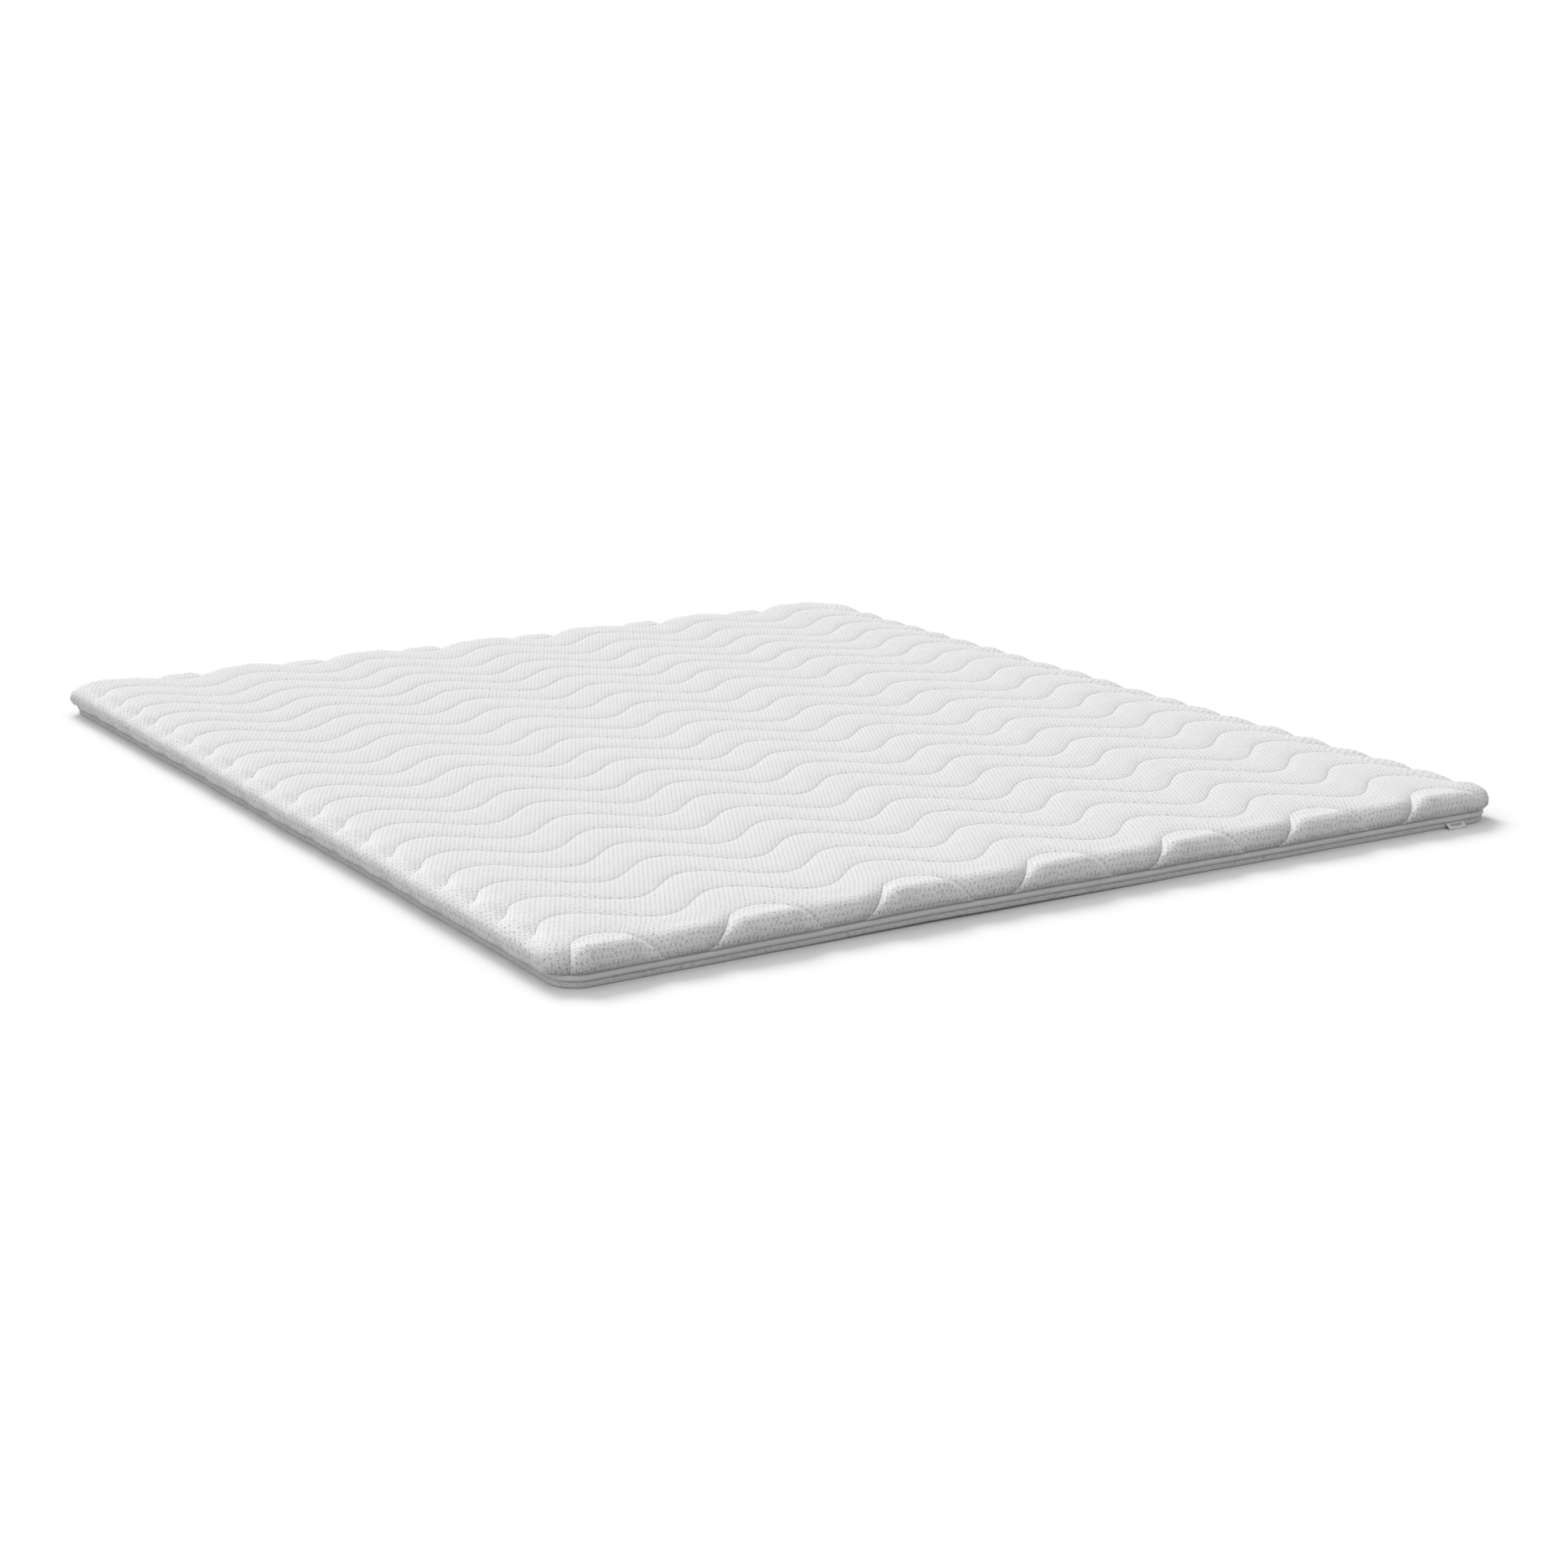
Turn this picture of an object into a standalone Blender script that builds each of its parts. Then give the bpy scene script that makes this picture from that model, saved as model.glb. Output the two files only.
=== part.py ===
"""Quilted mattress topper, 160 x 190 cm, about 5 cm thick, lying flat.

Metres, +Z up. The origin is on the floor at the middle of the underside,
+X across the bed and +Y along it.
"""
import math

import bmesh
import bpy
import numpy as np

# Overall size
WIDTH = 1.600
LENGTH = 1.900
CORNER_RADIUS = 0.050      # plan radius, and the width of the rounded rim
SIDE_BOW = 0.004           # how far the middle of each side is drawn in
BOW_REACH = 0.94           # share of a half side that the bow covers

# Heights above the floor
COVER_EDGE_TOP = 0.0100    # top of the lower cover's band
TAPE_BOTTOM = 0.0103
TAPE_TOP = 0.0177
COVER_CORE_TOP = 0.0177    # the lower cover inside the tape
SEAM_HEIGHT = 0.0180       # where the quilted top is sewn to the tape
WAIST_HEIGHT = 0.0285      # widest level of the rim
STITCH_HEIGHT = 0.0462     # quilting lines on the flat of the top
PUFF_HEIGHT = 0.0058       # filling between two quilting lines

# Insets from the widest outline
RIM_INSET = 0.0045         # quilting lines at the waist
SEAM_INSET = 0.0065
TAPE_INNER_INSET = 0.0170
CORE_INSET = 0.0180        # the lower cover's step inside the tape

# Sections of the two bands: inset and height, from the bottom up
COVER_SECTION = (
    (0.0110, 0.0),
    (0.0081, 0.0010),
    (0.0065, 0.0034),
    (0.0065, 0.0066),
    (0.0079, 0.0090),
    (0.0105, COVER_EDGE_TOP),
    (CORE_INSET, COVER_EDGE_TOP),
    (CORE_INSET, COVER_CORE_TOP),
)
TAPE_SECTION = (
    (TAPE_INNER_INSET, TAPE_BOTTOM),
    (0.0064, TAPE_BOTTOM),
    (0.0050, 0.0119),
    (0.0050, 0.0161),
    (0.0064, TAPE_TOP),
    (TAPE_INNER_INSET, TAPE_TOP),
)

# Quilting: equal waves side by side along the length
LINE_COUNT = 22
FIRST_LINE = 0.0385        # middle of the first wave, from the front side
CHANNEL = 0.0880           # from one wave to the next
WAVE_PERIOD = 0.2368
WAVE_SWING = 0.0365        # half the height of a wave
FIRST_CREST = 0.0880       # first crest, from the left side
SIDE_PATTERN = 0.0640      # how much of the pattern lies on the rim at each side
END_PATTERN = 0.0370       # and at the front and the back
RIM_SHAPE = 2.3            # superellipse exponent of the rim's shoulder
PUFF_SHAPE = 2.6           # flatness of a channel's crown
PINCH_WIDTH = 0.012        # the filling thins out this close to a seam
PINCH_SHAPE = 0.6
NARROW_CHANNEL = 0.050     # channels narrower than this are flatter

# How finely the surface is divided
COLUMNS_PER_WAVE = 8
RIM_STEPS = (1.0, 0.88, 0.72, 0.55, 0.37, 0.18, 0.0)     # shares of the rim, seam first
COLUMN_MARGIN = 0.010      # no wave column this close to the rim's last column
CHANNEL_ROWS = 3
BORDER_ROWS = 7            # in the channel next to the arches at each end
ARCH_ROWS = 6              # between the end seams and the outermost waves
SIDE_STEPS = 8
CORNER_STEPS = 6
PROFILE_STEPS = 48
WELD_DISTANCE = 0.00008
SHARP_ANGLE = math.radians(50.0)

# Side label
LABEL_LEFT = 1.507         # from the left side
LABEL_WIDTH = 0.035
LABEL_SHEET = 0.0010
LABEL_ROOT = (0.0059, 0.0070)     # inset and height of its sewn edge
LABEL_TIP = (-0.0008, 0.0014)
LABEL_CURL = 1.4
LABEL_COLUMNS = 2
LABEL_ROWS = 4


def clear_scene():
    for item in list(bpy.data.objects):
        bpy.data.objects.remove(item)


def make_material(name, colour, roughness):
    material = bpy.data.materials.new(name)
    material.use_nodes = True
    shader = material.node_tree.nodes["Principled BSDF"]
    shader.inputs["Base Color"].default_value = (*colour, 1.0)
    shader.inputs["Roughness"].default_value = roughness
    shader.inputs["Metallic"].default_value = 0.0
    return material


def rim_profile():
    """Distance over the rim, inset, height and outward normal, from the flat to the seam."""
    turn = np.linspace(0.0, math.pi / 2, PROFILE_STEPS)
    power = 2.0 / RIM_SHAPE
    shoulder_inset = CORNER_RADIUS - (CORNER_RADIUS - RIM_INSET) * np.sin(turn) ** power
    shoulder_height = WAIST_HEIGHT + (STITCH_HEIGHT - WAIST_HEIGHT) * np.cos(turn) ** power
    tuck_inset = RIM_INSET + (SEAM_INSET - RIM_INSET) * (1.0 - np.cos(turn[1:]))
    tuck_height = WAIST_HEIGHT - (WAIST_HEIGHT - SEAM_HEIGHT) * np.sin(turn[1:])
    inset = np.concatenate([shoulder_inset, tuck_inset])
    height = np.concatenate([shoulder_height, tuck_height])
    travel = np.concatenate([[0.0], np.cumsum(np.hypot(np.diff(inset), np.diff(height)))])
    slope_out = -np.gradient(inset, travel)
    slope_up = np.gradient(height, travel)
    return travel, inset, height, -slope_up, slope_out


PROFILE = rim_profile()
RIM_CLOTH = PROFILE[0][-1]


def cloth_table():
    """Pattern places along the topper and the same places measured on the cloth."""
    pattern = [CORNER_RADIUS - END_PATTERN, CORNER_RADIUS]
    pattern += [LENGTH - CORNER_RADIUS, LENGTH - CORNER_RADIUS + END_PATTERN]
    flat = LENGTH - 2.0 * CORNER_RADIUS
    cloth = [-RIM_CLOTH, 0.0, flat, flat + RIM_CLOTH]
    return pattern, cloth


def wave_line(index, across):
    phase = 2.0 * math.pi * (across - FIRST_CREST) / WAVE_PERIOD
    return FIRST_LINE + index * CHANNEL + WAVE_SWING * math.cos(phase)


def column_places():
    """Pattern places across the topper: rim steps at both sides, wave steps between."""
    near_rim = [CORNER_RADIUS - SIDE_PATTERN * step for step in RIM_STEPS]
    far_rim = [WIDTH - place for place in reversed(near_rim)]
    step = WAVE_PERIOD / COLUMNS_PER_WAVE
    count = int(WIDTH / step)
    waves = [FIRST_CREST + step * index for index in range(-COLUMNS_PER_WAVE, count)]
    low = near_rim[-1] + COLUMN_MARGIN
    high = far_rim[0] - COLUMN_MARGIN
    return near_rim + [place for place in waves if low < place < high] + far_rim


def row_places(across):
    """Pattern place and fullness of every row at one column, front to back."""
    pattern, cloth = cloth_table()
    front_seam, back_seam = pattern[0], pattern[-1]
    lines = [wave_line(index, across) for index in range(LINE_COUNT)]
    lines = [min(max(line, front_seam), back_seam) for line in lines]
    stops = np.interp([front_seam] + lines + [back_seam], pattern, cloth)
    rows = [(front_seam, 0.0)]
    for low, high, count in zip(stops, stops[1:], channel_rows()):
        widest = min(1.0, (high - low) / NARROW_CHANNEL)
        for step in range(1, count + 1):
            share = step / count
            crown = widest * (1.0 - abs(2.0 * share - 1.0) ** PUFF_SHAPE)
            place = np.interp(low + (high - low) * share, cloth, pattern)
            rows.append((float(place), crown))
    return rows


def channel_rows():
    inner = [CHANNEL_ROWS] * (LINE_COUNT - 3)
    return [ARCH_ROWS, BORDER_ROWS] + inner + [BORDER_ROWS, ARCH_ROWS]


def rim_share(place, span, on_rim):
    """-1 to 0 on the near rim, 0 on the flat and 0 to 1 on the far rim."""
    if place < CORNER_RADIUS:
        return (place - CORNER_RADIUS) / on_rim
    if place > span - CORNER_RADIUS:
        return (place - span + CORNER_RADIUS) / on_rim
    return 0.0


def bowed(x, y):
    """Centre a plan point and draw the sides in between the corners."""
    x -= WIDTH / 2
    y -= LENGTH / 2
    across = x / (WIDTH / 2)
    along = y / (LENGTH / 2)
    side = max(0.0, 1.0 - (along / BOW_REACH) ** 4)
    end = max(0.0, 1.0 - (across / BOW_REACH) ** 4)
    return x - SIDE_BOW * across * side, y - SIDE_BOW * along * end


def surface_point(across, along, crown):
    """Wrap a pattern point over the rim and raise it by the filling."""
    u = rim_share(across, WIDTH, SIDE_PATTERN)
    v = rim_share(along, LENGTH, END_PATTERN)
    out_x = u * math.sqrt(1.0 - v * v / 2.0)
    out_y = v * math.sqrt(1.0 - u * u / 2.0)
    reach = min(1.0, math.hypot(out_x, out_y))
    travel, inset, height, normal_out, normal_up = PROFILE
    here = reach * RIM_CLOTH
    offset = CORNER_RADIUS - np.interp(here, travel, inset)
    pinch = min(1.0, (RIM_CLOTH - here) / PINCH_WIDTH) ** PINCH_SHAPE
    puff = PUFF_HEIGHT * crown * pinch
    offset += puff * np.interp(here, travel, normal_out)
    z = np.interp(here, travel, height) + puff * np.interp(here, travel, normal_up)
    x = min(max(across, CORNER_RADIUS), WIDTH - CORNER_RADIUS)
    y = min(max(along, CORNER_RADIUS), LENGTH - CORNER_RADIUS)
    if reach > 0.0:
        x += offset * out_x / reach
        y += offset * out_y / reach
    return (*bowed(x, y), max(z, SEAM_HEIGHT))


def add_object(name, bm, material, collection):
    mesh = bpy.data.meshes.new(name)
    bm.to_mesh(mesh)
    bm.free()
    mesh.materials.append(material)
    mesh.shade_smooth()
    mesh.set_sharp_from_angle(angle=SHARP_ANGLE)
    item = bpy.data.objects.new(name, mesh)
    collection.objects.link(item)
    return item


def close_solid(bm):
    """Weld the sheet's ends, fill what is left open and point the faces outwards."""
    bmesh.ops.remove_doubles(bm, verts=bm.verts, dist=WELD_DISTANCE)
    bmesh.ops.dissolve_degenerate(bm, edges=bm.edges, dist=WELD_DISTANCE)
    open_edges = [edge for edge in bm.edges if edge.is_boundary]
    bmesh.ops.holes_fill(bm, edges=open_edges)
    bmesh.ops.triangulate(bm, faces=bm.faces)
    bmesh.ops.recalc_face_normals(bm, faces=bm.faces)


def make_quilted_top(collection):
    """Filled upper part: sewn wave channels that run down over the rim to the seam."""
    columns = column_places()
    rows = [row_places(across) for across in columns]
    last_column = len(columns) - 1
    last_row = len(rows[0]) - 1
    bm = bmesh.new()
    bmesh.ops.create_grid(bm, x_segments=last_column, y_segments=last_row, size=0.5)
    for vertex in bm.verts:
        column = round((vertex.co.x + 0.5) * last_column)
        row = round((vertex.co.y + 0.5) * last_row)
        along, crown = rows[column][row]
        vertex.co = surface_point(columns[column], along, crown)
    close_solid(bm)
    knit = make_material("white_knit", (0.80, 0.80, 0.79), 0.85)
    return add_object("quilted_top", bm, knit, collection)


def outline_points(inset):
    """Rounded outline, bowed like the top's, as a list of plan points."""
    radius = CORNER_RADIUS - inset
    corners = (
        (WIDTH - CORNER_RADIUS, CORNER_RADIUS, -90.0),
        (WIDTH - CORNER_RADIUS, LENGTH - CORNER_RADIUS, 0.0),
        (CORNER_RADIUS, LENGTH - CORNER_RADIUS, 90.0),
        (CORNER_RADIUS, CORNER_RADIUS, 180.0),
    )
    points = []
    for x, y, start in corners:
        for step in range(CORNER_STEPS + 1):
            angle = math.radians(start + 90.0 * step / CORNER_STEPS)
            points.append((x + radius * math.cos(angle), y + radius * math.sin(angle)))
    outline = []
    for (x0, y0), (x1, y1) in zip(points, points[1:] + points[:1]):
        is_side = math.hypot(x1 - x0, y1 - y0) > CORNER_RADIUS
        steps = SIDE_STEPS if is_side else 1
        for step in range(steps):
            share = step / steps
            outline.append(bowed(x0 + (x1 - x0) * share, y0 + (y1 - y0) * share))
    return outline


def wrap_sections(sections):
    """A sheet wrapped round the outline, one row for each (inset, height) section."""
    rings = [outline_points(inset) for inset, _ in sections]
    last_point = len(rings[0])
    last_row = len(sections) - 1
    bm = bmesh.new()
    bmesh.ops.create_grid(bm, x_segments=last_point, y_segments=last_row, size=0.5)
    for vertex in bm.verts:
        point = round((vertex.co.x + 0.5) * last_point) % last_point
        row = round((vertex.co.y + 0.5) * last_row)
        vertex.co = (*rings[row][point], sections[row][1])
    return bm


def make_lower_cover(collection):
    """Padded lower part: a rolled band at the edge and a core that fills the tape."""
    bm = wrap_sections(COVER_SECTION)
    close_solid(bm)
    knit = make_material("mottled_knit", (0.72, 0.72, 0.71), 0.9)
    return add_object("lower_cover", bm, knit, collection)


def make_edge_tape(collection):
    """Smooth tape round all four sides, between the quilted top and the lower cover."""
    bm = wrap_sections(TAPE_SECTION + TAPE_SECTION[:1])
    close_solid(bm)
    tape = make_material("woven_tape", (0.74, 0.74, 0.73), 0.55)
    return add_object("edge_tape", bm, tape, collection)


def make_side_label(collection):
    """Small blank tab sewn to the band of the lower cover near the front right corner."""
    bm = bmesh.new()
    bmesh.ops.create_grid(bm, x_segments=LABEL_COLUMNS, y_segments=LABEL_ROWS, size=0.5)
    root_inset, root_height = LABEL_ROOT
    tip_inset, tip_height = LABEL_TIP
    for vertex in bm.verts:
        drop = 0.5 - vertex.co.y
        inset = root_inset + (tip_inset - root_inset) * drop
        height = root_height + (tip_height - root_height) * drop ** LABEL_CURL
        x = LABEL_LEFT + LABEL_WIDTH * (vertex.co.x + 0.5)
        vertex.co = (*bowed(x, inset), height)
    bmesh.ops.recalc_face_normals(bm, faces=bm.faces)
    cloth = make_material("woven_label", (0.78, 0.78, 0.77), 0.7)
    label = add_object("side_label", bm, cloth, collection)
    sheet = label.modifiers.new("sheet", "SOLIDIFY")
    sheet.thickness = LABEL_SHEET
    sheet.offset = 0.0
    return label


def main():
    clear_scene()
    collection = bpy.data.collections.new("mattress_topper")
    bpy.context.scene.collection.children.link(collection)
    make_lower_cover(collection)
    make_edge_tape(collection)
    make_quilted_top(collection)
    make_side_label(collection)


main()
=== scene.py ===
import math
import bmesh
import bpy
import numpy as np
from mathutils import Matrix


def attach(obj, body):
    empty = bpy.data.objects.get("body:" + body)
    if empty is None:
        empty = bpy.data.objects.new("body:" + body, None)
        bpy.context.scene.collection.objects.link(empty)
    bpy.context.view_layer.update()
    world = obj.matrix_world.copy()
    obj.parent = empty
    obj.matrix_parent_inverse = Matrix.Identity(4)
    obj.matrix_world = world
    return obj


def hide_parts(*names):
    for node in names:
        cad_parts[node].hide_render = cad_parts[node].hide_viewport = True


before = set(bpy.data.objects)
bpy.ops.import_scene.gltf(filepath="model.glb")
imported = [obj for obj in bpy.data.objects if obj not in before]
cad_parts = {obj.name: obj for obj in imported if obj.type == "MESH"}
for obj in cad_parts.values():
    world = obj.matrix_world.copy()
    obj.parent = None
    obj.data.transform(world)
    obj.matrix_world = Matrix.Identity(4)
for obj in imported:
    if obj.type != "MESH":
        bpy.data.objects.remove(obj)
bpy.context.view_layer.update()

# Quilted mattress topper, 160 x 190 cm, lying flat. Metres, +Y along it, +Z up.
# Shapes are worked out from the front left corner, and settle() centres them over the origin.

# Shape that all the pieces share.

topper = {
    "width": 1.600, "length": 1.900,
    "corner": 0.050,          # plan radius and width of the rounded rim
    "bow": 0.004,             # how far the sides are drawn in between the corners
    "bowReach": 0.94,         # share of a half side that the bow covers
    "liftHeight": 0.0025,     # the front edge stands a little off the floor here
    "liftAt": 0.62, "liftWidth": 0.26, "liftDepth": 0.30,
    "sideWander": 0.0016,     # unevenness of the sewn sides
    "sideHold": 9, "endHold": 11,      # the higher, the closer the unevenness keeps to the edge
    # waves of that unevenness: radians in a metre, shift, share
    "sideWaves": ((11.0, 0.8, 0.50), (23.7, 2.0, 0.35), (41.0, 0.0, 0.15)),
    "endWaves": ((12.3, 1.9, 0.50), (26.1, 0.0, 0.35), (44.0, 1.0, 0.15)),
    "weld": 0.00006, "fineWeld": 0.00001, "sharpDegrees": 60.0,
}


def smooth(low, high, value):
    share = np.clip((value - low) / (high - low), 0.0, 1.0)
    return share * share * (3.0 - 2.0 * share)


def addedWaves(place, waves):
    return sum(np.sin(place * rate + shift) * share for rate, shift, share in waves)


# Draws the sides in, lets them wander a little, lifts the front edge and centres the result.
# Takes points from the front left corner, x across and y along.
def settle(points):
    t = topper
    x, y, z = (points[..., i].copy() for i in range(3))
    across = x / (t["width"] / 2) - 1.0
    along = y / (t["length"] / 2) - 1.0
    sideBow = np.clip(1.0 - (along / t["bowReach"]) ** 4, 0.0, None)
    endBow = np.clip(1.0 - (across / t["bowReach"]) ** 4, 0.0, None)
    wander = t["sideWander"]
    sideWave = addedWaves(y, t["sideWaves"])
    endWave = addedWaves(x, t["endWaves"])
    nearSide = np.abs(across) ** t["sideHold"]
    nearEnd = np.abs(along) ** t["endHold"]
    newX = x - t["bow"] * across * sideBow + wander * sideWave * nearSide * sideBow
    newY = y - t["bow"] * along * endBow + wander * endWave * nearEnd * endBow
    lift = t["liftHeight"] * np.exp(-((x - t["liftAt"]) / t["liftWidth"]) ** 2)
    newZ = z + lift * (1.0 - smooth(0.0, t["liftDepth"], y))
    return np.stack([newX - t["width"] / 2, newY - t["length"] / 2, newZ], axis=-1)


# Points round the outline at an inset, from the front right corner: each corner's arc, then its side.
def outlinePlaces(inset, sideSteps, endSteps, cornerSteps):
    t = topper
    near, farX, farY = t["corner"], t["width"] - t["corner"], t["length"] - t["corner"]
    corners = ((farX, near, -90.0), (farX, farY, 0.0), (near, farY, 90.0), (near, near, 180.0))
    arcs = []
    for x, y, start in corners:
        angles = np.radians(start + 90.0 * np.arange(cornerSteps + 1) / cornerSteps)
        turned = np.stack([np.cos(angles), np.sin(angles)], axis=-1)
        arcs.append(np.array([x, y]) + (t["corner"] - inset) * turned)
    points = []
    for number, arc in enumerate(arcs):
        steps = (sideSteps, endSteps)[number % 2]
        share = np.arange(1, steps)[:, None] / steps
        points += [arc, arc[-1] * (1.0 - share) + arcs[(number + 1) % 4][0] * share]
    return np.concatenate(points)


# Puts a grid's vertices at the given places (columns, rows, 3).
# Each one also gets its cloth coordinates and its share of the painted shade beside the outermost lines.
def shapeGrid(bm, places, cloth, foldShades):
    columns, rows = places.shape[0] - 1, places.shape[1] - 1
    bmesh.ops.create_grid(bm, x_segments=columns, y_segments=rows, size=0.5)
    layer = bm.verts.layers.float_vector.new("clothPlace")
    foldShadeLayer = bm.verts.layers.float.new("paintedFoldShade")
    placeList, clothList, foldShadeList = places.tolist(), cloth.tolist(), foldShades.tolist()
    for vertex in bm.verts:
        column = round((vertex.co.x + 0.5) * columns)
        row = round((vertex.co.y + 0.5) * rows)
        vertex[layer] = clothList[column][row]
        vertex[foldShadeLayer] = foldShadeList[column][row]
        vertex.co = placeList[column][row]


def closeShape(bm, weld, fill):
    bmesh.ops.remove_doubles(bm, verts=bm.verts, dist=weld)
    bmesh.ops.dissolve_degenerate(bm, edges=bm.edges, dist=weld)
    if fill:
        openEdges = [edge for edge in bm.edges if edge.is_boundary]
        bmesh.ops.holes_fill(bm, edges=openEdges)
        bmesh.ops.triangulate(bm, faces=[face for face in bm.faces if len(face.verts) > 4])
    bmesh.ops.recalc_face_normals(bm, faces=bm.faces)


def linkPiece(name, mesh, material):
    mesh.materials.append(material)
    mesh.shade_smooth()
    piece = bpy.data.objects.new(name, mesh)
    bpy.context.scene.collection.objects.link(piece)
    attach(piece, "root")
    return piece


def addPiece(name, bm, material):
    mesh = bpy.data.meshes.new(name)
    bm.to_mesh(mesh)
    bm.free()
    piece = linkPiece(name, mesh, material)
    mesh.set_sharp_from_angle(angle=math.radians(topper["sharpDegrees"]))
    return piece


def thicken(piece, thickness, offset):
    sheet = piece.modifiers.new("thickness", "SOLIDIFY")
    sheet.thickness = thickness
    sheet.offset = offset


# Materials.

# One socket of a shader; sums and products on it add their Math nodes.
class Wire:
    def __init__(self, shading, socket):
        self.shading = shading
        self.socket = socket

    def combine(self, operation, first, second):
        return self.shading.node("ShaderNodeMath", {"operation": operation}, {0: first, 1: second})

    def __add__(self, other):
        return self.combine("ADD", self, other)

    def __radd__(self, other):
        return self.combine("ADD", other, self)

    def __sub__(self, other):
        return self.combine("SUBTRACT", self, other)

    def __rsub__(self, other):
        return self.combine("SUBTRACT", other, self)

    def __mul__(self, other):
        return self.combine("MULTIPLY", self, other)

    def __rmul__(self, other):
        return self.combine("MULTIPLY", other, self)

    # waves in a metre, bent sideways by some radians
    def waves(self, perMetre, bend=0.0):
        return self.combine("COSINE", self * (2.0 * math.pi * perMetre) + bend, 0.0)

    # 0 below low, 1 above high, eased between
    def ramp(self, low, high):
        sockets = {"Value": self, "From Min": low, "From Max": high}
        return self.shading.node("ShaderNodeMapRange", {"interpolation_type": "SMOOTHSTEP"}, sockets)

    # 1 from low to high, with soft edges inside them
    def between(self, low, high, edge):
        return self.ramp(low, low + edge) * (1.0 - self.ramp(high - edge, high))


class Shading:
    def __init__(self, tree):
        self.tree = tree

    # any node: its type, its settings, its inputs by name or number, and the output wanted
    def node(self, kind, settings, sockets, output=0):
        made = self.tree.nodes.new(kind)
        for key, value in settings.items():
            setattr(made, key, value)
        for key, value in sockets.items():
            self.join(value, made.inputs[key])
        return Wire(self, made.outputs[output])

    def join(self, value, socket):
        if isinstance(value, Wire):
            self.tree.links.new(value.socket, socket)
        elif isinstance(value, tuple):
            socket.default_value = (*value, 1.0)      # a colour
        else:
            socket.default_value = value

    def parts(self, vector):
        split = self.node("ShaderNodeSeparateXYZ", {}, {0: vector})
        return [Wire(self, socket) for socket in split.socket.node.outputs]


class Finish(Shading):
    def __init__(self, name):
        self.material = bpy.data.materials.new(name)
        self.material.use_nodes = True
        super().__init__(self.material.node_tree)
        self.shader = self.tree.nodes["Principled BSDF"]

    def clothPlace(self):
        return self.node("ShaderNodeAttribute", {"attribute_name": "clothPlace"}, {}, "Vector")

    def paintedFoldShade(self):
        return self.node("ShaderNodeAttribute", {"attribute_name": "paintedFoldShade"}, {}, "Fac")

    def objectPlace(self):
        return self.node("ShaderNodeTexCoord", {}, {}, "Object")

    # soft noise, 0 to 1
    def grain(self, place, scale, detail=2.0, roughness=0.5):
        sockets = {"Vector": place, "Scale": scale, "Detail": detail, "Roughness": roughness}
        return self.node("ShaderNodeTexNoise", {"normalize": True}, sockets, "Fac")

    # part of one colour mixed into another; 6, 7 and 2 are a Mix node's colour sockets
    def tint(self, amount, colour, other):
        return self.node("ShaderNodeMix", {"data_type": "RGBA"}, {0: amount, 6: colour, 7: other}, 2)

    def relief(self, height, depth):
        sockets = {"Height": height, "Distance": depth, "Strength": 1.0}
        return self.node("ShaderNodeBump", {}, sockets, "Normal")

    def finishWith(self, **values):
        names = {"colour": "Base Color", "normal": "Normal", "roughness": "Roughness",
                 "specular": "Specular IOR Level",
                 "sheen": "Sheen Weight", "sheenRoughness": "Sheen Roughness"}
        for key, value in values.items():
            self.join(value, self.shader.inputs[names[key]])
        return self.material


knit = {
    # white of the knit, and a lighter white painted on the rim to stand in for light
    "white": (0.765, 0.765, 0.765), "rimLitWhite": (0.83, 0.83, 0.83),
    # greys: one for the painted shade in dimples and beside folds and for the random fibres and clouds, one
    # for the painted crease shade
    "shadeAndToneGrey": (0.46, 0.46, 0.46), "creaseShade": (0.42, 0.42, 0.42),
    "dimplesAcross": 135.3,     # dimples in a metre, along a row
    "rowsAlong": 71.0,          # pairs of staggered rows in a metre
    "rimColumns": 205.0, "rimRows": 175.0,      # the same on the rim, where they stand closer
    "loopsAcross": 640.0, "loopsAlong": 820.0,
    # scales of the noises, and how far they bend the rows
    "fibres": 900.0, "wander": 60.0, "patches": 260.0, "rimPatches": 300.0, "clouds": 26.0, "puckers": 190.0,
    "fibreBend": 0.9, "wanderBend": 5.0, "rimBend": 0.6, "rimUneven": 2.4,
    # heights of the waves between which a dimple starts and is full, on the flat and on the rim
    "dimpleFrom": 0.36, "dimpleTo": 0.90, "openFrom": 0.45, "openTo": 1.05,
    # how much darker: painted shade in the dimples anywhere, near the sewing and on the rim; random tone of
    # the fibres; painted shade in the creases and beside the outer folds; and random clouds
    "dimpleShadeTint": 0.34, "drawnShadeTint": 0.28, "rimDimpleShadeTint": 0.85,
    "fibreTint": 0.1, "creaseShadeTint": 0.62, "foldShadeTint": 0.30, "cloudTint": 0.10,
    # relief, as shares of its depth
    "depth": 0.0011, "ribRelief": 0.13, "loopRelief": 0.05, "fibreRelief": 0.12, "puckerRelief": 0.7,
    "dimpleRelief": 0.8,
    # distances from the sewing: its band of painted crease shade, where the knit is drawn in and its dimples
    # get more painted shade, and where it puckers
    "creaseShadeWidth": 0.0020, "drawnShadeFrom": 0.003, "drawnShadeTo": 0.011, "puckerFrom": 0.001, "puckerTo": 0.014,
    # one edge's distance times the opposite one's, where the rim ends and the flat begins
    "rimEnds": 0.03, "flatBegins": 0.11,
    # the rim's painted dimple shade and its painted lighter white are weaker past here
    "farSideFrom": 1.50, "farSideTo": 1.56, "farSideLess": 0.6,
    "farEndFrom": 1.80, "farEndTo": 1.87, "farEndLess": 0.7,
}
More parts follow.
